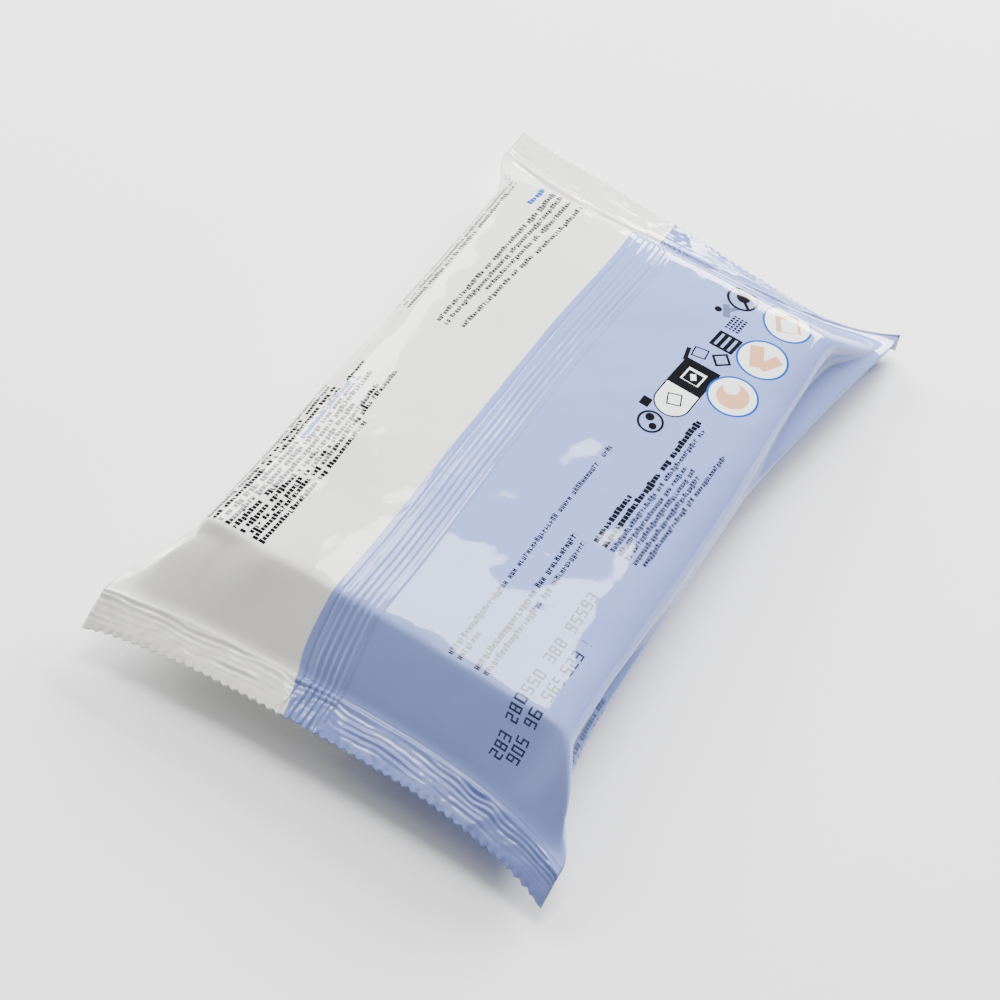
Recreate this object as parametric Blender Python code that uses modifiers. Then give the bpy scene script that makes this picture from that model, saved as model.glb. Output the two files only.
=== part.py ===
"""A sealed flow pack of wet wipes, lying on its front face with the fin seal up.

The film is one sheet wrapped round a brick of folded wipes. Its two long edges meet in a fin seal
along the middle of the back, which lies folded over to -X, and each end is pinched flat into a
crimped seal with a saw-toothed edge. A closed pack holds its wipes out of sight, so film and wipes
are one solid. The peel-back label that covers the dispensing opening is a piece of its own.

Units are metres. X runs across the pack, Y along it, Z up. The origin is the middle of the
footprint, on the surface that the pack lies on.
"""

import math

import bpy

# Driving dimensions
STACK_LENGTH = 0.172  # brick of wipes, along Y
STACK_WIDTH = 0.119  # brick of wipes, along X
PACK_HEIGHT = 0.0368  # from the surface to the back face, without its crown
BACK_CROWN = 0.0024  # how far the middle of the back stands above its long edges
EDGE_RADIUS = 0.0105  # of the long edges
SHOULDER_RUN = 0.0262  # from the end of the brick to the inner line of an end seal
SEAL_DEPTH = 0.011  # from that inner line to the tips of the teeth
SEAL_HEIGHT = 0.0144  # of an end seal's middle plane above the surface
FILM_PAIR = 0.0006  # two sealed plies with the air and wrinkles between them

FIN_WIDTH = 0.015
FIN_THICKNESS = 0.0005
FIN_ROOT_X = 0.0002  # where the folded fin leaves the back

CRIMP_COUNT = 4
CRIMP_PITCH = 0.0018
CRIMP_WAVE = 0.0003
TOOTH_PITCH = 0.003
TOOTH_DEPTH = 0.0013
TIP_CLEARANCE = 0.0001  # the cut just trims the tips
CUTTER_HEIGHT = 0.008

LABEL_LENGTH = 0.098
LABEL_WIDTH = 0.064
LABEL_CORNER = 0.014
LABEL_THICKNESS = 0.0003
LABEL_TAB_WIDTH = 0.026
LABEL_TAB_LENGTH = 0.009
LABEL_GAP = 0.0003  # of adhesive, between the label and the film

# Worked out from them
FRONT_Z = LABEL_THICKNESS + LABEL_GAP
SEAL_HALF_WIDTH = (STACK_WIDTH + PACK_HEIGHT - FRONT_Z) / 2  # half the film's girth, laid flat
BRICK_END_Y = STACK_LENGTH / 2
SEAL_LINE_Y = BRICK_END_Y + SHOULDER_RUN
TIP_Y = SEAL_LINE_Y + SEAL_DEPTH
CRIMPS_START = SEAL_LINE_Y + 0.001

CRIMP_STEPS = 4  # straight stretches to each crimp
SHOULDER_SOFTNESS = 0.22  # share of the shoulder's run over which its bend is spread
CORNER_STEPS = 6
FACE_STEPS = 6  # straight stretches of the back and front, on each side of the fin

FILM_COLOUR = (0.58, 0.63, 0.74, 1.0)
LABEL_COLOUR = (0.86, 0.87, 0.88, 1.0)


def clear_scene():
    for obj in list(bpy.data.objects):
        bpy.data.objects.remove(obj)


def new_collection(name):
    collection = bpy.data.collections.new(name)
    bpy.context.scene.collection.children.link(collection)
    return collection


def plastic(name, colour, roughness):
    """A Principled material for printed film."""
    material = bpy.data.materials.new(name)
    material.use_nodes = True
    shader = material.node_tree.nodes["Principled BSDF"]
    shader.inputs["Base Color"].default_value = colour
    shader.inputs["Roughness"].default_value = roughness
    shader.inputs["Metallic"].default_value = 0.0
    return material


def mesh_object(name, vertices, faces, collection):
    mesh = bpy.data.meshes.new(name)
    mesh.from_pydata(vertices, [], faces)
    obj = bpy.data.objects.new(name, mesh)
    collection.objects.link(obj)
    return obj


def flat_plate(name, outline, thickness, collection):
    """A flat piece with this outline in XY, its thickness shared above and below Z = 0."""
    vertices = [(x, y, 0.0) for x, y in outline]
    plate = mesh_object(name, vertices, [tuple(range(len(vertices)))], collection)
    solidify = plate.modifiers.new("thickness", "SOLIDIFY")
    solidify.thickness = thickness
    solidify.offset = 0.0
    return plate


def soft_ramp(t):
    """0 before the shoulder, rising to 1 at the seal, with its bend rounded off."""
    rising = (t + math.hypot(t, SHOULDER_SOFTNESS)) / 2
    at_seal = (1 + math.hypot(1, SHOULDER_SOFTNESS)) / 2
    return rising / at_seal


def corner_arc(centre_x, centre_z, radius, start_deg):
    """A quarter circle, clockwise from start_deg."""
    for step in range(CORNER_STEPS + 1):
        angle = math.radians(start_deg - 90 * step / CORNER_STEPS)
        yield centre_x + radius * math.cos(angle), centre_z + radius * math.sin(angle)


def crimp_wave(y):
    """How far the crimps lift or sink the sealed plies at one place along Y."""
    turns = (y - CRIMPS_START) / CRIMP_PITCH
    if not 0 < turns < CRIMP_COUNT:
        return 0.0
    return CRIMP_WAVE * math.sin(2 * math.pi * turns)


def section(y):
    """The pack's outline at one place along Y, clockwise from the front-left corner's arc.

    It is a rounded rectangle that widens and flattens over the shoulder: what its height loses,
    its width gains, because the film's girth stays the same.
    """
    pinch = min(soft_ramp((y - BRICK_END_Y) / SHOULDER_RUN), 1.0)
    half_width = STACK_WIDTH / 2 + (SEAL_HALF_WIDTH - STACK_WIDTH / 2) * pinch
    wave = crimp_wave(y)
    low = FRONT_Z + (SEAL_HEIGHT - FILM_PAIR / 2 - FRONT_Z) * pinch + wave
    high = PACK_HEIGHT + (SEAL_HEIGHT + FILM_PAIR / 2 - PACK_HEIGHT) * pinch + wave
    radius = min(EDGE_RADIUS * (1 - 0.75 * pinch), 0.4 * (high - low))
    crown = BACK_CROWN * (1 - pinch)
    inner = half_width - radius

    def back(x, lift=0.0):
        return x, high + crown * (1 - (x / half_width) ** 2) + lift

    free_edge = FIN_ROOT_X - FIN_WIDTH
    fin = [
        back(free_edge - FIN_THICKNESS),
        back(free_edge, FIN_THICKNESS),
        back(free_edge + FIN_WIDTH / 2, FIN_THICKNESS),
        back(FIN_ROOT_X - 2 * FIN_THICKNESS, FIN_THICKNESS),
        back(FIN_ROOT_X),
    ]
    points = list(corner_arc(-inner, low + radius, radius, 270))
    points += list(corner_arc(-inner, back(-inner)[1] - radius, radius, 180))
    points += [back(x) for x in between(-inner, free_edge - FIN_THICKNESS)]
    points += fin
    points += [back(x) for x in between(FIN_ROOT_X, inner)]
    points += list(corner_arc(inner, back(inner)[1] - radius, radius, 90))
    points += list(corner_arc(inner, low + radius, radius, 0))
    return points


def between(start, end):
    """Places along one face, evenly spread, without its two ends."""
    return [start + (end - start) * i / FACE_STEPS for i in range(1, FACE_STEPS)]


def station_places():
    """Places along +Y for the loft: sparse over the brick, close over bends and crimps."""
    places = [BRICK_END_Y * share for share in (0.0, 0.35, 0.65, 0.82)]
    places += [
        BRICK_END_Y + SHOULDER_RUN * share
        for share in (-0.45, -0.28, -0.14, 0.0, 0.14, 0.28, 0.45, 0.72, 1.0)
    ]
    steps = CRIMP_COUNT * CRIMP_STEPS
    places += [CRIMPS_START + CRIMP_PITCH * i / CRIMP_STEPS for i in range(steps + 1)]
    return places + [TIP_Y]


def build_body(collection):
    """Half of the pack as a loft, open at Y = 0 and closed at the seal's edge, then mirrored."""
    vertices = []
    for y in station_places():
        vertices += [(x, y, z) for x, z in section(y)]
    ring = len(section(0.0))
    rings = len(station_places())
    faces = []
    for i in range(rings - 1):
        for j in range(ring):
            k = (j + 1) % ring
            faces.append((i * ring + j, (i + 1) * ring + j, (i + 1) * ring + k, i * ring + k))
    faces.append(tuple((rings - 1) * ring + j for j in reversed(range(ring))))
    body = mesh_object("film_pack", vertices, faces, collection)
    body.data.materials.append(plastic("laminated_film", FILM_COLOUR, 0.25))
    mirror = body.modifiers.new("other_half", "MIRROR")
    mirror.use_axis = (False, True, False)
    mirror.use_mirror_merge = True
    mirror.merge_threshold = 0.0001
    return body


def tooth_outline():
    """A saw-toothed line across the pack, closed beyond the tips: what lies outside is cut off."""
    teeth = round(2 * SEAL_HALF_WIDTH / TOOTH_PITCH)
    pitch = 2 * SEAL_HALF_WIDTH / teeth
    line = []
    for i in range(-1, 2 * teeth + 2):
        inset = TOOTH_DEPTH if i % 2 == 0 else TIP_CLEARANCE
        line.append((-SEAL_HALF_WIDTH + pitch * i / 2, TIP_Y - inset))
    beyond = TIP_Y + TOOTH_DEPTH
    return line + [(SEAL_HALF_WIDTH + pitch / 2, beyond), (-SEAL_HALF_WIDTH - pitch / 2, beyond)]


def cut_teeth(body, tools):
    """Cuts the saw-toothed edge into both end seals."""
    for end, turn in (("far", 0.0), ("near", math.pi)):
        cutter = flat_plate(f"{end}_tooth_cutter", tooth_outline(), CUTTER_HEIGHT, tools)
        cutter.location.z = SEAL_HEIGHT
        cutter.rotation_euler.z = turn
        cutter.hide_render = True
        cutter.display_type = "WIRE"
        modifier = body.modifiers.new(f"{end}_teeth", "BOOLEAN")
        modifier.operation = "DIFFERENCE"
        modifier.object = cutter


def label_outline():
    """A rounded rectangle, longer along Y, with a lift tab in the middle of its -Y end."""
    half_w, half_l = LABEL_WIDTH / 2, LABEL_LENGTH / 2
    centres = [
        (half_w - LABEL_CORNER, half_l - LABEL_CORNER, 0),
        (-half_w + LABEL_CORNER, half_l - LABEL_CORNER, 90),
        (-half_w + LABEL_CORNER, -half_l + LABEL_CORNER, 180),
        (half_w - LABEL_CORNER, -half_l + LABEL_CORNER, 270),
    ]
    points = []
    for number, (x, y, start) in enumerate(centres):
        for step in range(CORNER_STEPS + 1):
            angle = math.radians(start + 90 * step / CORNER_STEPS)
            points.append((x + LABEL_CORNER * math.cos(angle), y + LABEL_CORNER * math.sin(angle)))
        if number == 2:
            points += tab_outline(-half_l)
    return points


def tab_outline(root_y):
    """The lift tab: a half ellipse out of the label's end, from -X to +X."""
    steps = 2 * CORNER_STEPS
    for step in range(steps + 1):
        angle = math.pi * (1 + step / steps)
        yield (
            LABEL_TAB_WIDTH / 2 * math.cos(angle),
            root_y + LABEL_TAB_LENGTH * math.sin(angle),
        )


def build_label(collection):
    label = flat_plate("reseal_label", label_outline(), LABEL_THICKNESS, collection)
    label.location.z = LABEL_THICKNESS / 2
    label.data.materials.append(plastic("label_film", LABEL_COLOUR, 0.35))


def main():
    clear_scene()
    pack = new_collection("wet_wipes_pack")
    tools = new_collection("cutting_tools")
    body = build_body(pack)
    cut_teeth(body, tools)
    build_label(pack)


main()
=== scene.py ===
"""The looks of a flow pack of wet wipes: its film, fin seal, end seals, print and label.

The film is worked out in millimetres and made a mesh in metres. Across the pack it is followed by
its girth, from one end of the seals to the other over the back, and then back under the front.
Along the pack it is followed by stations, close together over seals and folds. X runs across the
pack, Y along it and Z up, as in the frame.
"""

import math

import bpy
import numpy as np
from mathutils import Matrix, Vector


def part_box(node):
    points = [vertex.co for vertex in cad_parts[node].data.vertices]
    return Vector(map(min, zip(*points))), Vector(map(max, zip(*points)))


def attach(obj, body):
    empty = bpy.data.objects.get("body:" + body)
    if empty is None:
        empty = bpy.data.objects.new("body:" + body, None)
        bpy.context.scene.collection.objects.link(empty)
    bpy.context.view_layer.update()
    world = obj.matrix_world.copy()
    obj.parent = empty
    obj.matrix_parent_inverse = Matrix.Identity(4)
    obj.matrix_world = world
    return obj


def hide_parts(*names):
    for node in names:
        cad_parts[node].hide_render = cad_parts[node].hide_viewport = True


MM = 0.001

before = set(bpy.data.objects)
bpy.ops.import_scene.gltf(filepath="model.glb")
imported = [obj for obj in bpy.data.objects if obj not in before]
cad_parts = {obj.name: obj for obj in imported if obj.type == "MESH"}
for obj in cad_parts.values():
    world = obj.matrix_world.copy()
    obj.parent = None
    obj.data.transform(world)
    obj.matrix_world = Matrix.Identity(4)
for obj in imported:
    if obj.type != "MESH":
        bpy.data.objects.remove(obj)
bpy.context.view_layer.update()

# ---------------------------------------------------------------------------------------------
# Sizes in millimetres, from the frame
# ---------------------------------------------------------------------------------------------

film_low, film_high = (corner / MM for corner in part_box("film_pack"))

SEAL_HALF = film_high.x  # half the film's girth, laid flat
TIP_Y = film_high.y  # tips of the teeth
FRONT_Z = film_low.z  # underside of the pack

SEAL_DEPTH = 11.0
SHOULDER = 26.2  # run of a shoulder, from the brick's end to its seal
SEAL_Y = TIP_Y - SEAL_DEPTH
BRICK_Y = SEAL_Y - SHOULDER
WALL_X = SEAL_HALF - 18.1  # long side walls of the brick
RIM_Z = film_high.z - 3.6  # long edges of the back
MID_Z = 16.5  # where the back's ply meets the front's on a side wall

# Each side's widest place, rim rounding and pull of its wall, and how the line where the plies
# meet flares out towards the seals' ends: the place where it starts and its power
RIGHT_SIDE = {
    "wall": 64.0,
    "radius": 15.0,
    "pull": 4.5,
    "near_flare": (55.0, 3.0),
    "far_flare": (25.0, 1.15),
}
LEFT_SIDE = {
    "wall": 64.0,
    "radius": 15.0,
    "pull": 2.5,
    "near_flare": (40.0, 1.5),
    "far_flare": (60.0, 2.0),
}

# Each end seal, at five places from its -X end to its +X end: how far out its inner line and its
# teeth lie, and their heights
NEAR_SEAL = {
    "inner_y": (113.0, 107.0, 104.5, 104.5, 112.5),
    "tip_y": (125.0, 119.3, 117.0, 116.6, 121.5),
    "inner_z": (17.0, 17.0, 17.0, 16.5, 12.0),
    "tip_z": (11.0, 14.5, 15.5, 14.5, 6.0),
}
FAR_SEAL = {
    "inner_y": (112.5, 106.5, 108.0, 110.0, 118.0),
    "tip_y": (124.5, 120.5, 119.0, 119.0, 123.0),
    "inner_z": (15.5, 14.5, 14.0, 12.5, 15.5),
    "tip_z": (16.0, 15.5, 12.5, 7.0, 2.5),
}

# Folds across the near seal: girth place, slant and height as a share of a crease's
SEAL_FOLDS = [
    (56.0, -0.7, 2.6),
    (31.0, 0.9, 1.8),
    (-53.0, 0.8, 1.6),
    (-61.0, 0.5, 1.4),
    (-8.0, 0.6, -1.2),
]
TEETH, TOOTH_DEPTH = 52, 0.95
CRIMPS, CRIMP_HEIGHT = 4, 0.42
CRIMP_START, CRIMP_RUN = 0.08, 0.6  # shares of a seal's depth
FAR_CRIMPS = 0.4  # share of the near crimps' height
PLY_GAP = 0.36  # between the middles of two sealed plies
LINE_ROLL = 0.5  # height of the roll along a seal's inner line
CROWN = 3.0  # rise of the back's middle over its rims

COLUMNS = 4 * TEETH  # across one ply, so that each tooth has its corners on columns
SEAL_ROWS, SHOULDER_ROWS, BODY_ROWS = 30, 42, 94
BODY_ROWS_Y = BRICK_Y - 4.0  # where the body's wider rows start

FIN_ROOT, FIN_EDGE = 0.8, -15.2  # across the back, where the fin starts and its free edge
FIN_END_Y = SEAL_Y + 0.1 * SEAL_DEPTH  # at the far end; at the near end it runs to the teeth
FIN_COLUMNS = 64
FIN_THICKNESS = 0.45
FIN_SUNK = 0.1  # how far its underside lies in the film
FIN_RIDGES, FIN_RIDGE_HEIGHT = 5, 0.27
FIN_GROOVE = 0.34

# The print on the film laid flat
SEAL_LINE_V = 113.3  # inner lines of the seals
FRONT_BLUE_END = 150.0  # girth place under the front where blue gives way to white
FAR_BLUE_STEP = 4.5  # shift of the blue's edge in the far seal
NEAR_BLUE_SLANT = -0.3  # slant of the blue's edge in the near seal


# ---------------------------------------------------------------------------------------------
# Shapes as formulas
# ---------------------------------------------------------------------------------------------


def smooth(x, start, end):
    """0 before start, 1 after end, and 3t^2 - 2t^3 between them."""
    t = np.clip((x - start) / (end - start), 0.0, 1.0)
    return t * t * (3.0 - 2.0 * t)


def hump(x, centre, width):
    """A bell of height 1: e to the minus square of the distance over the width."""
    return np.exp(-(((x - centre) / width) ** 2))


def soft_min(a, b, softness):
    """The lower of two heights, with the corner where they cross rounded off."""
    return 0.5 * (a + b - np.sqrt((a - b) ** 2 + softness**2))


def ripple(x, y, pitch_x, pitch_y, seed):
    """Random heights from -1 to 1 on a lattice of the two pitches, joined by smooth steps."""
    rng = np.random.default_rng(seed)
    lattice = rng.uniform(-1.0, 1.0, (64, 64))
    u, v = x / pitch_x + 31.3, y / pitch_y + 29.7
    i, j = np.floor(u).astype(int), np.floor(v).astype(int)
    fu, fv = smooth(u - i, 0.0, 1.0), smooth(v - j, 0.0, 1.0)
    a, b = lattice[i % 64, j % 64], lattice[(i + 1) % 64, j % 64]
    c, d = lattice[i % 64, (j + 1) % 64], lattice[(i + 1) % 64, (j + 1) % 64]
    return (a * (1 - fu) + b * fu) * (1 - fv) + (c * (1 - fu) + d * fu) * fv


def stations():
    """Places along the pack for the film's rows, from the near teeth to the far ones."""
    seal = np.linspace(TIP_Y, SEAL_Y, SEAL_ROWS, endpoint=False)
    shoulder = np.linspace(SEAL_Y, BODY_ROWS_Y, SHOULDER_ROWS, endpoint=False)
    body = np.linspace(BODY_ROWS_Y, -BODY_ROWS_Y, BODY_ROWS)
    half = np.concatenate([seal, shoulder])
    return np.concatenate([-half, -body, half[::-1]])


def openness(y):
    """1 over the brick and 0 in the end seals: a straight shoulder with its two folds rounded.

    The foot is the share squared over twice the foot's length, and then a straight line. The
    top is cut off at 1 by soft_min.
    """
    foot, softness = 0.16, 0.07
    share = np.maximum((SEAL_Y - np.abs(y)) / SHOULDER, 0.0)
    share = np.where(share < foot, share**2 / (2 * foot), share - foot / 2) / (1 - foot / 2)
    closed = soft_min(1.0, 0.0, softness)
    return np.clip((soft_min(1.0, share, softness) - closed) / (1.0 - closed), 0.0, 1.0)


def loop_basis(controls, samples):
    """Weights of a closed uniform cubic B-spline: one row for each sample along it."""
    at = np.arange(samples) / samples * controls
    first = np.floor(at).astype(int)
    t = at - first
    weights = np.zeros((samples, controls))
    pieces = ((1 - t) ** 3, 3 * t**3 - 6 * t**2 + 4, -3 * t**3 + 3 * t**2 + 3 * t + 1, t**3)
    for step, piece in enumerate(pieces):
        weights[np.arange(samples), (first + step - 1) % controls] += piece / 6.0
    return weights


def side_controls(y, side):
    """One side's outline from the back's middle to the front's, at each station.

    Gives distances from the middle plane and heights as shares, 1 for the back face, 0 for the
    line where the plies meet and -1 for the front face. That line is drawn out into a ridge
    towards each seal's end, and between it and the rim the wall is pulled in.
    """
    away = np.abs(y)
    opened = openness(y)
    edge = side["wall"] + (SEAL_HALF - side["wall"]) * (1 - opened)
    radius = 1.0 + (side["radius"] - 1.0) * opened * (1 - 0.4 * smooth(away, 40, BRICK_Y))
    near, far = (
        np.clip((away - start) / (SEAL_Y - start), 0.0, 1.0) ** power
        for start, power in (side["near_flare"], side["far_flare"])
    )
    ridge = side["wall"] + (SEAL_HALF - side["wall"]) * np.where(y < 0, near, far)
    valley = side["pull"] * (0.2 + smooth(away, 15, 70)) * opened * (1 - 0.9 * smooth(y, 72, 98))
    one = np.ones_like(y)
    across = [
        0.36 * edge,
        0.70 * edge,
        edge - 1.25 * radius,
        edge - 0.40 * radius,
        edge + 0.04 * radius,
        edge - 0.7 * valley,
        0.5 * (edge + ridge) - valley,
        ridge,
        ridge,
        0.5 * (edge + ridge) - 1.2 * valley,
        edge - 0.15 * radius,
        edge - 1.1 * radius,
        0.5 * edge,
    ]
    height = [1, 1, 1, 0.97, 0.66, 0.38, 0.16, 0.03, -0.03, -0.3, -0.86, -1, -1]
    return across, [one * h for h in height]


def outline(y):
    """The film's closed outline at each station: a B-spline with both sides' controls.

    Returns distances across, height shares and the sample numbers of the two seal ends, which
    lie midway between the two ridge controls of a side.
    """
    samples_a_control, right_ridge = 40, 8.5
    right_x, right_h = side_controls(y, RIGHT_SIDE)
    left_x, left_h = side_controls(y, LEFT_SIDE)
    zero, one = np.zeros_like(y), np.ones_like(y)
    across = [zero] + right_x + [zero] + [-x for x in left_x[::-1]]
    height = [one] + right_h + [-one] + left_h[::-1]
    samples = samples_a_control * len(across)
    weights = loop_basis(len(across), samples)
    right_end = round(samples * right_ridge / len(across))
    left_end = samples - right_end
    return weights @ np.array(across), weights @ np.array(height), left_end, right_end


def ply(s, y, back):
    """Distances across and height shares of one ply at girth places s and stations y.

    Each station's outline is cut at the seal ends and shared out evenly by its length, so s = 0
    is the middle of the ply, and s = +-SEAL_HALF are its two ends. In a seal the ply is flat, so
    x is s there.
    """
    share_height = 18.0  # what a height share of 1 counts as in an outline's length
    across, height, left_end, right_end = outline(y)
    count = len(across)
    if back:
        order = np.arange(left_end, right_end + count + 1) % count
    else:
        order = np.arange(left_end, right_end - 1, -1)
    across, height = across[order], height[order]
    steps = np.hypot(np.diff(across, axis=0), np.diff(height, axis=0) * share_height)
    length = np.vstack([np.zeros(len(y)), np.cumsum(steps, axis=0)])
    share = (s + SEAL_HALF) / (2 * SEAL_HALF)
    x = np.array([np.interp(share * l[-1], l, a) for l, a in zip(length.T, across.T)])
    h = np.array([np.interp(share * l[-1], l, b) for l, b in zip(length.T, height.T)])
    flat = ((1 - openness(y)) ** 3)[:, None]
    return x * (1 - flat) + s * flat, h


def across_seal(values, s):
    """The quartic through five values, given for girth shares -1, -1/2, 0, 1/2 and 1."""
    shares = np.linspace(-1.0, 1.0, len(values))
    return np.polyval(np.polyfit(shares, values, len(values) - 1), s / SEAL_HALF)


def seal_lines(s, y):
    """Place along the pack and height of a seal's inner line and its teeth, at each point."""
    near, far = (
        [across_seal(seal[key], s) for key in ("inner_y", "tip_y", "inner_z", "tip_z")]
        for seal in (NEAR_SEAL, FAR_SEAL)
    )
    return [np.where(y < 0, a, b) for a, b in zip(near, far)]


def crimps(s, in_seal, far):
    """Height of a seal's ridges: a sine of its depth that wanders, plus finer random ridges.

    The ridges fade and swell along the seal, and are fainter in the far one.
    """
    wander = 0.8 * ripple(s, in_seal, 19.0, 3.0, 3) + 0.4 * ripple(s, in_seal, 6.0, 0.5, 4)
    wave = np.sin(2 * math.pi * (CRIMPS * (in_seal - CRIMP_START) / CRIMP_RUN + wander))
    wave = wave + 0.8 * ripple(s + 4.0 * in_seal, in_seal, 15.0, 0.11, 10)
    band = smooth(in_seal, 0.0, 0.1) * (1 - smooth(in_seal, 0.64, 0.76))
    strength = np.maximum(0.55 + 1.3 * ripple(s, in_seal, 13.0, 0.25, 5), 0.1)
    return CRIMP_HEIGHT * wave * band * strength * np.where(far, FAR_CRIMPS, 1.0)


def creases(s, y, in_seal):
    """Height of a seal's creases: slanting short ones, long soft waves and the listed folds.

    A fold is a ridge that falls off as e to the minus distance over 1.7, rounded at its top.
    """
    short = ripple(s + 0.8 * y, y - 0.3 * s, 3.6, 9.0, 6) ** 3
    short = short + 0.35 * ripple(s - y, y, 1.9, 5.0, 7)
    long = ripple(s, y, 17.0, 30.0, 8)
    for place, slant, height in SEAL_FOLDS:
        off = s - place - slant * in_seal * SEAL_DEPTH
        short = short + height * np.exp(-np.hypot(off, 0.5) / 1.7) * (y < 0)
    return (0.42 * short * (1 - 0.5 * smooth(in_seal, 0.7, 1)) + 0.5 * long) * in_seal**0.5


def teeth(s):
    """How far the edge is cut in: 0 at the tips of the teeth and 1 at their roots."""
    pitch = 2 * SEAL_HALF / TEETH
    return np.abs((s / pitch) % 1.0 - 0.5) * 2.0


def film(s, y, back):
    """Points of one ply at girth places s and stations y, in rows along the pack.

    A point's height goes from the middle height plus its share of the reach, over the brick, to
    the seal's own height, in the seals. It also moves along the pack, because the seals' lines
    bow and their edges are toothed, and out of the film by its dents.
    """
    x, h = ply(s, y, back)
    row_y, s = np.repeat(y[:, None], len(s), axis=1), s[None, :]
    opened = openness(row_y)
    inner_y, tip_y, inner_z, tip_z = seal_lines(s, row_y)
    on_shoulder = np.clip((np.abs(row_y) - BRICK_Y) / SHOULDER, 0.0, 1.0)
    in_seal = np.clip((np.abs(row_y) - SEAL_Y) / SEAL_DEPTH, 0.0, 1.0)
    crown = CROWN * (1 - (x / WALL_X) ** 2) * (1 - 0.6 * (row_y / BRICK_Y) ** 2)
    rise = RIM_Z + np.maximum(crown, 0.0) * opened - MID_Z
    reach = np.where(h > 0, rise, MID_Z - FRONT_Z)
    sealed = inner_z + (tip_z - inner_z) * in_seal**1.3
    sealed = sealed + crimps(s, in_seal, row_y > 0) + creases(s, row_y, in_seal)
    line_roll = LINE_ROLL * hump(in_seal * SEAL_DEPTH, 0.4, 1.1)
    line_roll = line_roll * (1 + 0.8 * ripple(s, row_y, 9.0, 90.0, 17))
    sealed = sealed + line_roll * (in_seal > 0)
    apart = (PLY_GAP / 2 if back else -PLY_GAP / 2) * (1 - np.abs(s / SEAL_HALF) ** 20)
    z = MID_Z + (sealed - MID_Z) * (1 - opened) + reach * h * opened + apart * (1 - opened)
    outward = on_shoulder * (inner_y - SEAL_Y) + in_seal * (tip_y - inner_y - SEAL_DEPTH)
    toothed = smooth(in_seal, 0.78, 1.0)
    toothed = toothed * (1 - smooth(np.abs(s), 0.94 * SEAL_HALF, 0.98 * SEAL_HALF))
    outward = outward - TOOTH_DEPTH * teeth(s) * toothed
    points = np.stack([x, row_y + np.sign(row_y) * outward, z], axis=-1)
    dent = (back_dents(s, row_y) if back else front_dents(s, row_y)) * opened
    away_from_ends = 1 - np.abs(s / SEAL_HALF) ** 8
    return points + normals(points, back) * (dent * away_from_ends)[..., None]


def normals(points, back):
    """Unit normals of a grid of points, out of the pack: along its rows crossed with across."""
    normal = np.cross(np.gradient(points, axis=1), np.gradient(points, axis=0))
    normal = normal / np.linalg.norm(normal, axis=-1, keepdims=True)
    return normal if back else -normal


def front_dents(s, y):
    """How far the front's film stands off its smooth shape: soft swells, all of them inwards."""
    return 0.2 * ripple(s, y, 24.0, 30.0, 9) - 0.2


def back_dents(s, y):
    """How far the back's film stands off its smooth shape: soft swells, ripples and folds.

    Gathers run up both shoulders. On the near one lie a flat facet with a sharp fold beside it,
    a roll with a dip in the +X corner, and waves along the fold at the brick's end.
    """
    swell = 0.5 * ripple(s, y, 31.0, 37.0, 11)
    swell = swell + 0.34 * ripple(s + 0.3 * y, y - 0.2 * s, 15.0, 19.0, 12)
    small = 0.11 * ripple(s - 0.4 * y, y, 6.0, 9.0, 13) + 0.03 * ripple(s, y, 2.6, 3.4, 15)
    near_end, far_end = BRICK_Y + y, BRICK_Y - y
    gathers = 0.3 * ripple(s, y, 7.0, 60.0, 14) * (hump(near_end, -20, 11) + hump(far_end, -20, 11))
    down = smooth(near_end, 1.0, -5.0) * (1 - smooth(near_end, -16.0, -26.0))
    beside = s + 46.0 - 0.15 * near_end
    facet = -0.32 * np.minimum(0.5 * (np.hypot(beside, 1.2) - beside), 16.0) * down
    apex = -1.1 * np.exp(-np.hypot(beside, 0.8) / 2.6) * down + 0.8 * hump(beside, 9.0, 6.0) * down
    corner, down_corner = s - 0.12 * near_end, hump(near_end, -13.0, 12.0)
    corner_roll = hump(corner, 60.0, 3.6) * down_corner
    corner_dip = hump(corner, 53.0, 3.6) * down_corner
    fold_waves = 0.35 * ripple(s, y, 11.0, 80.0, 16) * hump(near_end, -1.0, 4.0)
    folds = facet + apex + 1.5 * corner_roll - 0.8 * corner_dip + fold_waves
    return swell + small + gathers + folds


# ---------------------------------------------------------------------------------------------
# Meshes
# ---------------------------------------------------------------------------------------------


def grid_faces(rows, columns, closed):
    """Quads between neighbouring rows and columns, wrapping round the columns if closed."""
    i, j = np.meshgrid(np.arange(rows - 1), np.arange(columns - (not closed)), indexing="ij")
    k = (j + 1) % columns
    this_row, next_row = i * columns, (i + 1) * columns
    quads = np.stack([this_row + j, next_row + j, next_row + k, this_row + k])
    return quads.reshape(4, -1).T


def mesh_piece(name, points, faces):
    """A mesh object in metres from points in millimetres. A corner named twice is dropped."""
    mesh = bpy.data.meshes.new(name)
    faces = [list(dict.fromkeys(face)) for face in faces.tolist()]
    mesh.from_pydata(points.reshape(-1, 3) * MM, [], faces)
    mesh.shade_smooth()
    piece = bpy.data.objects.new(name, mesh)
    bpy.context.scene.collection.objects.link(piece)
    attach(piece, "root")
    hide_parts("film_pack")
    return piece


def face_corners(mesh):
    """Each face corner's vertex, and each face's first corner and count of corners."""
    vertex = np.empty(len(mesh.loops), np.int32)
    start = np.empty(len(mesh.polygons), np.int32)
    count = np.empty(len(mesh.polygons), np.int32)
    mesh.loops.foreach_get("vertex_index", vertex)
    mesh.polygons.foreach_get("loop_start", start)
    mesh.polygons.foreach_get("loop_total", count)
    return vertex, start, count


def write_map(mesh, name, u, v):
    """A UV map from the u and v of each face corner."""
    layer = mesh.uv_layers.new(name=name)
    layer.data.foreach_set("uv", np.stack([u, v], axis=-1).astype(np.float32).ravel())


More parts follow.
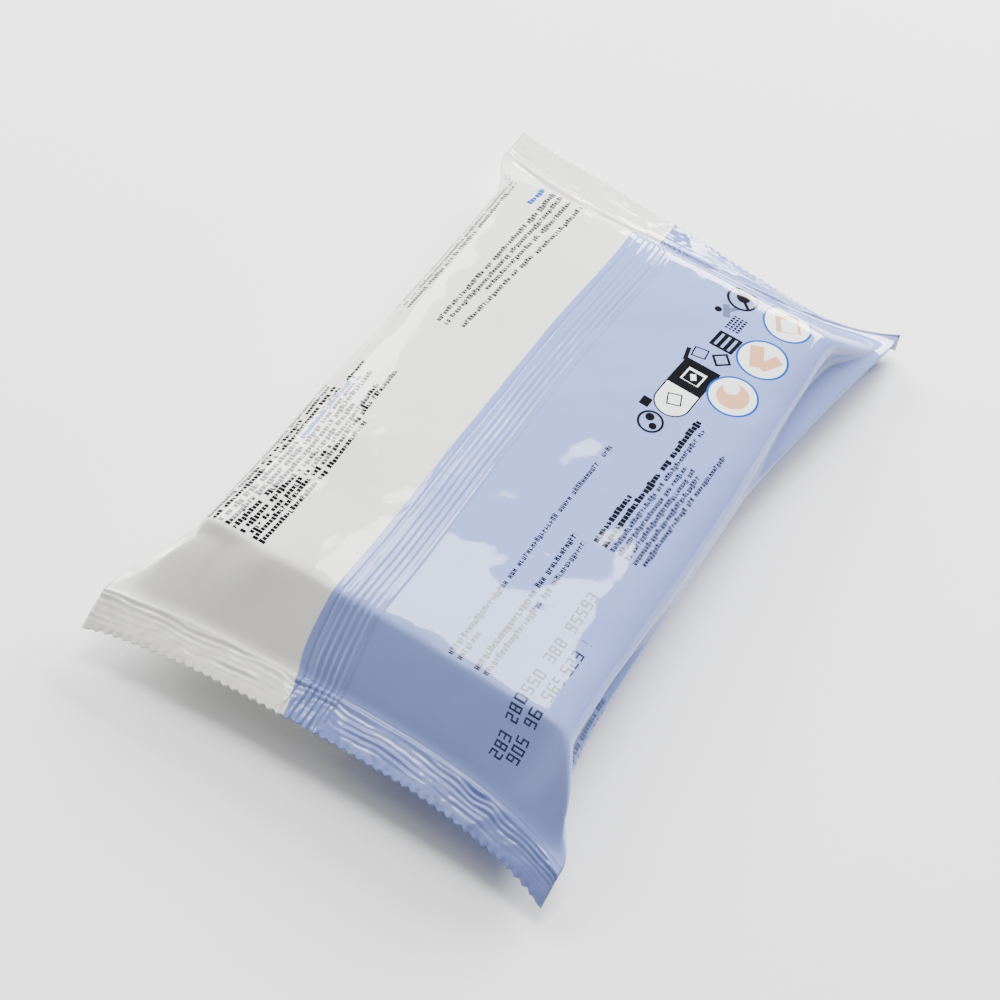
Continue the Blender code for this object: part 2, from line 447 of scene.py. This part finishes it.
def add_print_map(mesh, across, along):
    """A UV map of the film laid flat, in metres. A face from ply to ply lies on the back's."""
    vertex, start, count = face_corners(mesh)
    u, v = across.ravel()[vertex], along.ravel()[vertex]
    spread = np.maximum.reduceat(u, start) - np.minimum.reduceat(u, start)
    folded = np.repeat(spread > SEAL_HALF / 2, count) & (u > SEAL_HALF)
    write_map(mesh, "film_laid_flat", np.where(folded, 2 * SEAL_HALF - u, u) * MM, v * MM)


def add_bake_map(mesh, rows, columns, walls, wide):
    """A UV map that fills the unit square once, with more of it for the first wide columns.

    The walls are its first faces, laid out by rows and columns. The end faces lie in two strips
    above them, one for each end.
    """
    margin, narrow = 0.005, 0.4
    vertex, start, count = face_corners(mesh)
    row, column = vertex // columns, vertex % columns
    first = np.minimum.reduceat(column, start)
    last = np.maximum.reduceat(column, start)
    wraps = np.repeat((last - first > columns // 2) & (np.arange(len(start)) < walls), count)
    place = np.cumsum([0.0] + [1.0 if j < wide else narrow for j in range(columns)])
    u = margin + 0.985 * place[np.where(wraps & (column == 0), columns, column)] / place[-1]
    v = margin + 0.96 * row / (rows - 1)
    ends = np.repeat(np.arange(len(start)) >= walls, count)
    mirrored = np.where(column > columns // 2, columns - column, column)
    end_u = margin + 0.98 * 2 * mirrored / columns
    end_v = 0.97 + 0.012 * (row > 0) + 0.006 * (column > columns // 2)
    write_map(mesh, "OFBake", np.where(ends, end_u, u), np.where(ends, end_v, v))


def film_lengths(points):
    """Each row's place along the film, from the pack's middle, by the middle of its columns."""
    steps = np.linalg.norm(np.diff(points[:, COLUMNS // 2], axis=0), axis=1)
    length = np.concatenate([[0.0], np.cumsum(steps)])
    return length - 0.5 * length[-1]


def build_film():
    """The wrapper: both plies in one closed loop of columns, closed along the teeth."""
    y = stations()
    s = np.linspace(-SEAL_HALF, SEAL_HALF, COLUMNS + 1)
    back = film(s, y, True)
    front = film(s[1:-1], y, False)[:, ::-1]
    points = np.concatenate([back, front], axis=1)
    rows, columns = points.shape[:2]
    walls = grid_faces(rows, columns, True)[:, ::-1]
    faces = np.concatenate([walls, edge_faces(rows)])
    wrapper = mesh_piece("film_wrapper", points, faces)
    across = np.concatenate([s, 2 * SEAL_HALF - s[1:-1][::-1]])
    across, along = np.meshgrid(across, film_lengths(points))
    add_print_map(wrapper.data, across, along)
    add_bake_map(wrapper.data, rows, columns, len(walls), COLUMNS)
    return wrapper


def edge_faces(rows):
    """The toothed edges: quads between the two plies of the first row and of the last."""
    j = np.arange(COLUMNS)
    under = (2 * COLUMNS - j) % (2 * COLUMNS)
    near = np.stack([j, under, (under - 1) % (2 * COLUMNS), j + 1])
    last = (rows - 1) * 2 * COLUMNS
    return np.concatenate([near, (near + last)[::-1]], axis=1).T


def fin_height(across, y, in_seal):
    """Height of the fin over the film: a soft root, crimped ridges, a groove and a cut edge.

    The ridges are a sine of the distance from the root. The free edge lifts a little outside
    the near seal.
    """
    width = FIN_ROOT - FIN_EDGE
    rise = FIN_THICKNESS * smooth(across, 0.0, 2.2) - 0.06
    turns = FIN_RIDGES * (across - 2.4) / (0.62 * width) + 0.12 * ripple(across, y, 40.0, 30.0, 21)
    band = smooth(across, 1.8, 3.2) * (1 - smooth(across, 0.70 * width, 0.76 * width))
    strength = 0.75 + 0.45 * ripple(across, y, 5.0, 16.0, 22)
    ridges = FIN_RIDGE_HEIGHT * np.sin(2 * math.pi * turns) * band * strength
    groove = -FIN_GROOVE * hump(across, 0.85 * width + 0.25 * ripple(y, y, 30.0, 30.0, 23), 0.28)
    nicks = 0.07 * ripple(across, y, 1.1, 3.5, 24) * smooth(across, 2.0, 4.0)
    lift = 0.35 * smooth(across, 0.8 * width, width) * (0.6 + 0.6 * ripple(y, y, 22.0, 22.0, 25))
    return rise + ridges + groove + nicks + (lift - 0.1) * (1 - in_seal)


def build_fin():
    """The fin seal lying on the back: a top over a flat underside, joined round its edges."""
    y = stations()
    lengths = film_lengths(film(np.linspace(-SEAL_HALF, SEAL_HALF, COLUMNS + 1), y, True))
    lengths, y = lengths[y < FIN_END_Y], y[y < FIN_END_Y]
    s = np.linspace(FIN_ROOT, FIN_EDGE, FIN_COLUMNS)
    under = film(s[::-1], y, True)[:, ::-1]
    out = -normals(under, True)  # minus, because this grid's columns run the other way
    in_seal = np.clip((-y - SEAL_Y) / SEAL_DEPTH, 0.0, 1.0)[:, None]
    across = (FIN_ROOT - s)[None, :]
    height = fin_height(across, y[:, None] + 0 * across, in_seal)
    top = under + out * height[..., None]
    under = under - out * FIN_SUNK
    points = np.concatenate([top, under[:, ::-1]], axis=1)
    rows, columns = points.shape[:2]
    walls = grid_faces(rows, columns, True)
    j = np.arange(FIN_COLUMNS - 1)
    ends = np.stack([j, j + 1, columns - 2 - j, columns - 1 - j])
    ends = np.concatenate([ends, ends[::-1] + (rows - 1) * columns], axis=1).T
    fin = mesh_piece("fin_seal", points, np.concatenate([walls, ends]))
    across = np.concatenate([s, s[::-1]])
    across, along = np.meshgrid(across, lengths)
    add_print_map(fin.data, across, along)
    add_bake_map(fin.data, rows, columns, len(walls), FIN_COLUMNS)
    return fin


# ---------------------------------------------------------------------------------------------
# Materials
# ---------------------------------------------------------------------------------------------


class Value:
    """A number at each point of a surface. Arithmetic on it makes the nodes that work it out."""

    def __init__(self, socket):
        self.socket = socket

    def sum(self, operation, *others):
        """The Math node of this operation on this value and the others."""
        node = self.socket.id_data.nodes.new("ShaderNodeMath")
        node.operation = operation
        for place, other in enumerate((self, *others)):
            join(other, node.inputs[place])
        return Value(node.outputs[0])

    def __add__(self, other):
        return self.sum("ADD", other)

    def __sub__(self, other):
        return self.sum("SUBTRACT", other)

    def __mul__(self, other):
        return self.sum("MULTIPLY", other)

    def __truediv__(self, other):
        return self.sum("DIVIDE", other)

    def __gt__(self, other):
        return self.sum("GREATER_THAN", other)

    def __lt__(self, other):
        return self.sum("LESS_THAN", other)

    def __or__(self, other):
        return self.sum("MAXIMUM", other)

    def __abs__(self):
        return self.sum("ABSOLUTE")

    def within(self, low, high):
        """1 between low and high, and 0 elsewhere."""
        return (self > low) * (self < high)


def join(value, socket):
    """Feed a socket from a Value, or set it to a plain number or colour."""
    if isinstance(value, Value):
        socket.id_data.links.new(value.socket, socket)
    else:
        socket.default_value = value


def white(*cells):
    """A random number from 0 to 1 for each set of whole numbers."""
    tree = cells[0].socket.id_data
    vector = tree.nodes.new("ShaderNodeCombineXYZ")
    for cell, socket in zip(cells, vector.inputs):
        join(cell, socket)
    node = tree.nodes.new("ShaderNodeTexWhiteNoise")
    tree.links.new(vector.outputs[0], node.inputs["Vector"])
    return Value(node.outputs["Value"])


def cloud(u, v, seed, scale, detail=2.0):
    """Soft noise from 0 to 1 on the plane of u and v."""
    tree = u.socket.id_data
    vector = tree.nodes.new("ShaderNodeCombineXYZ")
    for cell, socket in zip((u, v, seed), vector.inputs):
        join(cell, socket)
    node = tree.nodes.new("ShaderNodeTexNoise")
    tree.links.new(vector.outputs[0], node.inputs["Vector"])
    node.inputs["Scale"].default_value = scale
    node.inputs["Detail"].default_value = detail
    return Value(node.outputs[0])


def blend(mask, below, above):
    """The colour below, with the colour above laid on it where the mask is 1."""
    node = mask.socket.id_data.nodes.new("ShaderNodeMix")
    node.data_type = "RGBA"
    join(mask, node.inputs["Factor"])
    for value, socket in ((below, node.inputs[6]), (above, node.inputs[7])):
        join(value if isinstance(value, Value) else (*value, 1.0), socket)
    return Value(node.outputs[2])


def group(name, inputs, formula):
    """A node group whose one output is the formula of its inputs, as a function of Values."""
    tree = bpy.data.node_groups.new(name, "ShaderNodeTree")
    for label in inputs:
        tree.interface.new_socket(label, in_out="INPUT", socket_type="NodeSocketFloat")
    tree.interface.new_socket("Mask", in_out="OUTPUT", socket_type="NodeSocketFloat")
    entry = tree.nodes.new("NodeGroupInput")
    result = formula(*[Value(entry.outputs[label]) for label in inputs])
    join(result, tree.nodes.new("NodeGroupOutput").inputs["Mask"])

    def place(*values):
        owner = next(value for value in values if isinstance(value, Value)).socket.id_data
        node = owner.nodes.new("ShaderNodeGroup")
        node.node_tree = tree
        for value, label in zip(values, inputs):
            join(value, node.inputs[label])
        return Value(node.outputs["Mask"])

    return place


DOT_PITCH = 0.55  # of the code's dots


def tick_rows(along, across, rows, pitch, length, ragged, size, weight):
    """Rows of ticks in word-like runs, with ragged ends; along and across from the first row.

    Each row is cut into cells. A cell has one or two stems, of random heights, and a cross bar,
    and one cell in eight or so is a gap.
    """
    row = (across / pitch + 0.5).sum("FLOOR")
    height = (across - row * pitch) / (size * -1.0)
    ends = length * ((white(row, pitch) * ragged) * -1.0 + 1.0)
    mark = (along / (size * 0.92)).sum("FLOOR")
    part = (along / (size * 0.92)).sum("FRACT")
    kind, other = white(mark, row, length), white(mark, row, pitch)
    top = (kind > 0.72) * 0.32 + 0.5
    bottom = (other > 0.86) * 0.3 + 0.5
    stems = abs(part - 0.2) < weight * 0.17
    stems = stems | (abs(part - 0.64) < weight * 0.17) * (other > 0.22)
    shape = stems * (height < top) * ((height + bottom) > 0.0)
    cross = (abs(height - (kind - 0.5)) < weight * 0.14) * part.within(0.05, 0.8)
    inside = row.within(-0.5, rows - 0.5) * (along > 0.0) * (along < ends)
    return (shape | cross) * inside * (white(mark, row) < 0.88)


def code_row(along, across, length, size):
    """A row of plain dotted digits, each drawn with some of seven bars and picked at random."""
    cell = size * 0.82
    block, part = (along / cell).sum("FLOOR"), (along / cell).sum("FRACT")
    height = across / (size * -1.0)
    pick = (white(block, length) * 7.0).sum("FLOOR")
    upper, lower = height > 0.0, height < 0.0
    left, right = abs(part - 0.1) < 0.1, abs(part - 0.62) < 0.1
    level = part < 0.72
    shape = level * (abs(abs(height) - 0.43) < 0.07)
    shape = shape | level * (abs(height) < 0.07) * (pick > 0.5)
    shape = shape | left * upper * (pick.within(2.5, 4.5) < 0.5)
    shape = shape | left * lower * (pick < 3.5)
    shape = shape | right * upper * (abs(abs(pick - 3.5) - 1.5) > 0.1)
    shape = shape | right * lower * (abs(pick - 3.0) > 0.5)
    inside = (along > 0.0) * (along < length) * (abs(height) < 0.5)
    off_along = abs((along / DOT_PITCH).sum("FRACT") - 0.5)
    off_across = abs((across / DOT_PITCH).sum("FRACT") - 0.5)
    dots = (off_along + off_across) < 0.8
    return shape * inside * dots * (white(block, 6.0) < 0.9)


def disc(u, v, middle_u, middle_v, radius):
    """1 within a radius of a middle, with a soft edge."""
    distance = ((u - middle_u).sum("POWER", 2.0) + (v - middle_v).sum("POWER", 2.0)).sum("SQRT")
    return ((radius - distance) / 0.15 + 0.5).sum("MINIMUM", 1.0).sum("MAXIMUM", 0.0)


def bar(u, v, middle_u, middle_v, half_u, half_v, turn):
    """1 within a rectangle, given by its middle, half sizes and turn in radians."""
    across = (u - middle_u) * turn.sum("COSINE") + (v - middle_v) * turn.sum("SINE")
    along = (v - middle_v) * turn.sum("COSINE") - (u - middle_u) * turn.sum("SINE")
    return (abs(across) < half_u) * (abs(along) < half_v)


WHITE_INK = (0.78, 0.77, 0.74)
BLUE_INK = (0.235, 0.295, 0.60)
SEALED_BLUE_WITH_PAINTED_SHADE = (0.175, 0.225, 0.50)  # two plies of film, one behind the other, darkened further by painted shade of the crimps
BLACK_INK = (0.004, 0.004, 0.006)
CODE_INK = (0.006, 0.008, 0.03)
WORD_BLUE = (0.004, 0.10, 0.45)
RING_BLUE = (0.002, 0.07, 0.38)
WALL_INK = (0.10, 0.12, 0.24)
PALE_INK = (0.82, 0.84, 0.86)
SKIN_INK = (0.66, 0.36, 0.22)

# Blocks of rows: first row's place across and its drift per mm, start along, rows, pitch,
# length, share of length by which ends are ragged, size, weight, ink. A row of no weight is a code
BLOCKS = [
    (-70.0, -0.04, -86.0, 12, 2.35, 76.0, 0.25, 1.3, 1.3, BLACK_INK),
    (-42.3, -0.04, -86.0, 1, 2.35, 76.5, 0.0, 1.3, 1.3, BLACK_INK),
    (-39.9, -0.04, -86.0, 1, 2.35, 52.0, 0.0, 1.3, 1.3, BLACK_INK),
    (-55.0, 0.0, -48.5, 1, 2.35, 28.5, 0.0, 1.3, 1.8, WORD_BLUE),
    (-70.0, 0.01, 14.0, 6, 2.35, 82.0, 0.2, 1.2, 1.0, BLACK_INK),
    (-46.0, 0.02, 13.0, 2, 2.8, 76.0, 0.05, 1.3, 1.1, BLACK_INK),
    (-40.4, 0.04, 33.0, 1, 2.8, 56.0, 0.0, 1.3, 1.1, BLACK_INK),
    (-38.0, 0.05, 15.0, 1, 2.8, 73.0, 0.0, 1.3, 1.1, BLACK_INK),
    (-35.6, 0.05, 56.0, 1, 2.8, 31.0, 0.0, 1.3, 1.1, BLACK_INK),
    (-49.0, 0.1, 75.0, 1, 2.8, 10.5, 0.0, 1.5, 1.6, WORD_BLUE),
    (21.2, 0.035, -86.0, 1, 2.4, 87.0, 0.0, 1.4, 0.9, BLACK_INK),
    (24.0, 0.035, -86.0, 1, 2.4, 10.0, 0.0, 1.4, 0.9, BLACK_INK),
    (29.3, 0.035, -86.0, 1, 2.4, 54.0, 0.0, 1.5, 1.0, BLACK_INK),
    (32.2, 0.045, -86.0, 1, 2.4, 53.0, 0.0, 1.4, 0.9, BLACK_INK),
    (37.3, 0.03, -31.0, 1, 2.6, 20.0, 0.0, 1.6, 1.5, BLACK_INK),
    (40.2, 0.03, -31.0, 1, 2.6, 57.0, 0.0, 1.6, 1.6, BLACK_INK),
    (43.0, 0.03, -31.0, 1, 2.5, 55.0, 0.0, 1.25, 1.0, BLACK_INK),
    (45.5, 0.03, -31.0, 3, 2.45, 43.0, 0.1, 1.25, 1.0, BLACK_INK),
    (52.9, 0.03, -29.5, 1, 2.5, 49.5, 0.0, 1.25, 1.0, BLACK_INK),
    (64.0, 0.0, -92.0, 8, 2.3, 30.0, 0.35, 1.3, 1.1, WALL_INK),
    (41.9, 0.08, -105.0, 1, 4.4, 29.0, 0.0, 3.6, 0.0, CODE_INK),
    (43.9, 0.05, -72.5, 1, 4.4, 26.0, 0.0, 3.6, 0.0, CODE_INK),
    (46.3, 0.14, -103.5, 1, 4.4, 17.0, 0.0, 3.6, 0.0, CODE_INK),
    (49.0, 0.05, -83.0, 1, 4.4, 7.5, 0.0, 3.6, 0.0, CODE_INK),
    (49.5, 0.06, -73.0, 1, 4.4, 12.0, 0.0, 3.6, 0.0, CODE_INK),
]

BARE_FACE = (0.0, 0.0, 0.0, 0.0, 1.0, 1.0, 0.0, 1.0, 1.0, 0.0, 0.0, 0.0)  # no rows

# The blue side's black marks, as plain shapes, the lowest first. Discs: middle, radius and ink.
# Bars: middle, half sizes, turn and ink
MARKS = [
    (29.6, 16.5, 4.3, BLACK_INK),
    (29.6, 16.5, 3.5, BLUE_INK),
    (28.6, 18.0, 1.5, BLACK_INK),
    (31.0, 15.4, 1.3, BLACK_INK),
    (24.6, 22.4, 1.6, 1.8, 0.0, BLACK_INK),
    (31.4, 27.6, 6.1, BLACK_INK),
    (31.4, 27.6, 5.6, PALE_INK),
    (31.4, 33.6, 6.1, 6.0, 0.0, BLACK_INK),
    (31.4, 30.6, 5.6, 3.6, 0.0, PALE_INK),
    (31.4, 40.2, 6.1, 6.2, 0.0, BLACK_INK),
    (31.4, 28.6, 2.4, 2.4, 0.4, BLACK_INK),
    (31.4, 28.6, 1.9, 1.9, 0.4, PALE_INK),
    (31.4, 40.4, 3.2, 2.9, 0.0, PALE_INK),
    (31.4, 40.0, 2.6, 2.3, 0.0, BLACK_INK),
    (31.4, 40.2, 0.9, 1.3, 0.6, PALE_INK),
    (24.6, 47.6, 0.7, 2.8, 0.3, BLACK_INK),
    (27.6, 50.4, 2.4, 2.2, 0.2, BLACK_INK),
    (27.6, 50.4, 1.9, 1.7, 0.2, BLUE_INK),
    (34.2, 52.0, 2.5, 2.5, 0.78, BLACK_INK),
    (34.2, 52.0, 1.7, 1.7, 0.78, BLUE_INK),
    (31.3, 59.4, 4.0, 3.6, 0.0, BLACK_INK),
    *[(31.3 + 2.3 * k, 59.4, 0.45, 2.7, 0.0, BLUE_INK) for k in (-1, 0, 1)],
    (29.9, 68.2, 2.4, 3.2, 0.0, BLACK_INK),
    *[(29.9 + 1.2 * k, 68.2, 0.18, 3.2, 0.0, BLUE_INK) for k in (-1, 0, 1)],
    *[(29.9, 68.2 + 1.2 * k, 2.4, 0.18, 0.0, BLUE_INK) for k in (-2, -1, 0, 1, 2)],
    (22.2, 70.6, 1.2, BLACK_INK),
    (24.6, 71.6, 1.1, 2.8, 0.5, WALL_INK),
    (26.4, 74.0, 0.8, 2.2, -0.6, WALL_INK),
    (26.6, 79.8, 5.3, BLACK_INK),
    (26.6, 79.8, 4.4, BLUE_INK),
    (26.6, 80.4, 2.3, BLACK_INK),
    (26.6, 79.8, 0.55, 4.8, 0.8, BLACK_INK),
]

# The three roundels: each one's middle, and the two shapes in it from that middle
ROUNDEL_RADIUS, RING_WIDTH = 8.2, 0.75
ROUNDELS = [
    ((44.8, 41.5), (0.0, 0.0, 5.2, SKIN_INK), (-2.0, 2.5, 2.6, PALE_INK)),
    ((43.6, 60.6), (-2.0, 0.0, 2.2, 4.6, 0.5, SKIN_INK), (2.6, 0.0, 1.8, 3.8, -0.4, SKIN_INK)),
    ((42.6, 79.6), (0.0, 0.0, 4.0, 4.0, 0.5, SKIN_INK), (0.8, -0.8, 2.6, 2.6, 0.5, PALE_INK)),
]


def marks(u, v, tint):
    """The marks and the roundels, laid on a colour one by one."""
    place_disc = group("disc", ("U", "V", "Middle U", "Middle V", "Radius"), disc)
    names = ("U", "V", "Middle U", "Middle V", "Half U", "Half V", "Turn")
    place_bar = group("bar", names, bar)
    grounds = [
        (*middle, radius, ink)
        for middle, *_ in ROUNDELS
        for radius, ink in ((ROUNDEL_RADIUS, RING_BLUE), (ROUNDEL_RADIUS - RING_WIDTH, PALE_INK))
    ]
    figures = [
        (middle_u + off_u, middle_v + off_v, *rest)
        for (middle_u, middle_v), *shapes in ROUNDELS
        for off_u, off_v, *rest in shapes
    ]
    for *shape, ink in (*MARKS, *grounds, *figures):
        place = place_disc if len(shape) == 3 else place_bar
        tint = blend(place(u, v, *shape), tint, ink)
    return tint


def add_print_blocks(mesh):
    """Face attributes that hold the block of rows printed there: its place, rows, style and ink."""
    _, start, count = face_corners(mesh)
    corners = np.empty(2 * len(mesh.loops), np.float32)
    mesh.uv_layers["film_laid_flat"].data.foreach_get("uv", corners)
    u, v = (np.add.reduceat(corners.reshape(-1, 2), start) / count[:, None] / MM).T
    values = np.tile(np.array(BARE_FACE), (len(u), 1))
    for across, drift, begin, rows, pitch, length, ragged, size, weight, ink in BLOCKS:
        row = (u - (v - begin) * drift - across) / pitch
        inside = (row > -0.5) & (row < rows - 0.5)
        inside &= (v > begin - 2) & (v < begin + length + 2)
        values[inside] = (across, drift, begin, rows, pitch, length, ragged, size, weight, *ink)
    for number, name in enumerate(("block_place", "block_rows", "block_style", "block_ink")):
        layer = mesh.attributes.new(name, "FLOAT_VECTOR", "FACE")
        part = values[:, 3 * number : 3 * number + 3]
        layer.data.foreach_set("vector", part.astype(np.float32).ravel())


def block_value(tree, name):
    """The three numbers of one of the face attributes, and the attribute as a colour."""
    node = tree.nodes.new("ShaderNodeAttribute")
    node.attribute_name = name
    parts = tree.nodes.new("ShaderNodeSeparateXYZ")
    tree.links.new(node.outputs["Vector"], parts.inputs[0])
    return [Value(parts.outputs[k]) for k in range(3)], Value(node.outputs["Color"])


def printed_film():
    """Glossy laminated film: white and blue fields, rows of ticks, marks and a fine grain."""
    material = bpy.data.materials.new("printed_film")
    material.use_nodes = True
    tree = material.node_tree
    shader = tree.nodes["Principled BSDF"]
    flat = tree.nodes.new("ShaderNodeUVMap")
    flat.uv_map = "film_laid_flat"
    parts = tree.nodes.new("ShaderNodeSeparateXYZ")
    tree.links.new(flat.outputs[0], parts.inputs[0])
    u, v = Value(parts.outputs[0]) / MM, Value(parts.outputs[1]) / MM

    shade = cloud(u, v, 1.0, 0.02, 3.0)
    in_near, in_far = v < -SEAL_LINE_V, v > SEAL_LINE_V
    jog = in_far * FAR_BLUE_STEP + in_near * ((v + SEAL_LINE_V) * NEAR_BLUE_SLANT)
    blue_side = (u - jog > FIN_EDGE - 0.1) * (u < FRONT_BLUE_END)
    white_field = blend(shade, WHITE_INK, tuple(c * 0.96 for c in WHITE_INK))
    blue_field = blend(shade, BLUE_INK, tuple(c * 1.05 for c in BLUE_INK))
    # The seals' blue is darker: partly two plies of film, partly painted shade standing in for the
    # crimps' shadow
    blue_field = blend(in_far | in_near, blue_field, SEALED_BLUE_WITH_PAINTED_SHADE)
    tint = blend(blue_side, white_field, blue_field)

    (place, drift, start), _ = block_value(tree, "block_place")
    (rows, pitch, length), _ = block_value(tree, "block_rows")
    (ragged, size, weight), _ = block_value(tree, "block_style")
    _, ink = block_value(tree, "block_ink")
    along = v - start
    across = u - along * drift - place
    ticks = tick_rows(along, across, rows, pitch, length, ragged, size, weight) * (weight > 0.5)
    codes = code_row(along, across, length, size) * (weight < 0.5) * (rows > 0.5)
    tint = blend(ticks | codes, tint, ink)
    tint = marks(u, v, tint)
    join(tint, shader.inputs["Base Color"])

    wear = cloud(u, v, 5.0, 0.09, 3.0)
    join(wear * 0.06 + 0.03, shader.inputs["Roughness"])
    fine = cloud(u + v * 0.4, v * 0.5, 7.0, 0.35, 3.0) * 0.7 + cloud(u, v, 9.0, 2.6, 2.0) * 0.05
    bump = tree.nodes.new("ShaderNodeBump")
    bump.inputs["Strength"].default_value = 0.35
    bump.inputs["Distance"].default_value = 0.12 * MM
    join(fine, bump.inputs["Height"])
    tree.links.new(bump.outputs[0], shader.inputs["Normal"])
    return material


def label_film():
    """The label's satin film: white, with a blue band across it and a fine mottle."""
    material = bpy.data.materials.new("label_satin")
    material.use_nodes = True
    tree = material.node_tree
    shader = tree.nodes["Principled BSDF"]
    place = tree.nodes.new("ShaderNodeTexCoord")
    parts = tree.nodes.new("ShaderNodeSeparateXYZ")
    tree.links.new(place.outputs["Object"], parts.inputs[0])
    x, y = Value(parts.outputs[0]) / MM, Value(parts.outputs[1]) / MM
    mottle = cloud(x, y, 2.0, 0.4, 3.0)
    tint = blend(mottle, WHITE_INK, tuple(c * 0.93 for c in WHITE_INK))
    join(blend(y.within(-14.0, 14.0), tint, BLUE_INK), shader.inputs["Base Color"])
    join(mottle * 0.12 + 0.2, shader.inputs["Roughness"])
    return material


def floor_paper():
    """Pale matt paper with a faint mottle."""
    material = bpy.data.materials.new("floor_paper")
    material.use_nodes = True
    tree = material.node_tree
    shader = tree.nodes["Principled BSDF"]
    place = tree.nodes.new("ShaderNodeTexCoord")
    parts = tree.nodes.new("ShaderNodeSeparateXYZ")
    tree.links.new(place.outputs["Object"], parts.inputs[0])
    mottle = cloud(Value(parts.outputs[0]), Value(parts.outputs[1]), 4.0, 30.0)
    tint = blend(mottle, (0.93, 0.93, 0.93), (0.91, 0.91, 0.915))
    join(tint, shader.inputs["Base Color"])
    shader.inputs["Roughness"].default_value = 0.9
    shader.inputs["Specular IOR Level"].default_value = 0.1
    return material


# ---------------------------------------------------------------------------------------------
# Floor, lights and camera
# ---------------------------------------------------------------------------------------------

CAMERA_AZIMUTH, CAMERA_ELEVATION, CAMERA_ROLL = 24.16, 55.42, 9.06  # degrees
CAMERA_DISTANCE = 0.5139
CAMERA_AIM = Vector((0.0009, -0.0202, 0.0172))
CAMERA_LENS = 59.77
WORLD_STRENGTH = 0.26

# Softboxes: azimuth and elevation in degrees, distance and two sides in metres, and watts
SOFTBOXES = {
    "glare_box": (199, 69, 1.6, (0.75, 0.42), 21),
    "overhead_box": (190, 89, 1.6, (0.8, 0.8), 5),
    "far_left_box": (242, 36, 1.8, (0.9, 0.9), 44),
    "far_box": (176, 28, 1.8, (1.2, 0.6), 96),
}


def direction(azimuth, elevation):
    """The way from the pack towards a viewer: azimuth 0 is the -Y side, 90 the +X side."""
    a, e = math.radians(azimuth), math.radians(elevation)
    return Vector((math.sin(a) * math.cos(e), -math.cos(a) * math.cos(e), math.sin(e)))


def facing(place, aim, roll=0.0):
    """A matrix at place whose -Z axis points at aim, turned by roll degrees about it."""
    back = (place - aim).normalized()
    right = Vector((0, 0, 1)).cross(back).normalized()
    up = back.cross(right)
    turn = Matrix((right, up, back)).transposed().to_4x4()
    return Matrix.Translation(place) @ turn @ Matrix.Rotation(math.radians(roll), 4, "Z")


def add_camera():
    """The camera, aimed at the pack from its near right side."""
    data = bpy.data.cameras.new("camera")
    data.lens = CAMERA_LENS
    data.sensor_width = 36.0
    camera = bpy.data.objects.new("camera", data)
    place = CAMERA_AIM + CAMERA_DISTANCE * direction(CAMERA_AZIMUTH, CAMERA_ELEVATION)
    camera.matrix_world = facing(place, CAMERA_AIM, CAMERA_ROLL)
    bpy.context.scene.collection.objects.link(camera)
    bpy.context.scene.camera = camera


def add_softbox(name, azimuth, elevation, distance, size, power):
    """A rectangular light that faces the pack."""
    data = bpy.data.lights.new(name, "AREA")
    data.shape = "RECTANGLE"
    data.size, data.size_y = size
    data.energy = power
    light = bpy.data.objects.new(name, data)
    light.matrix_world = facing(distance * direction(azimuth, elevation), Vector((0, 0, 0.02)))
    bpy.context.scene.collection.objects.link(light)


def add_studio():
    """The floor, the even light all round and the softboxes."""
    bpy.ops.mesh.primitive_plane_add(size=6.0)
    floor = bpy.context.object
    floor.name = "floor"
    floor.data.materials.append(floor_paper())
    world = bpy.data.worlds.new("studio")
    world.use_nodes = True
    background = world.node_tree.nodes["Background"]
    background.inputs["Color"].default_value = (1, 1, 1, 1)
    background.inputs["Strength"].default_value = WORLD_STRENGTH
    bpy.context.scene.world = world
    for name, setting in SOFTBOXES.items():
        add_softbox(name, *setting)


film_material = printed_film()
for piece in (build_film(), build_fin()):
    piece.data.materials.append(film_material)
    add_print_blocks(piece.data)
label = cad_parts["reseal_label"]
label.material_slots[0].material = label_film()
add_studio()
add_camera()
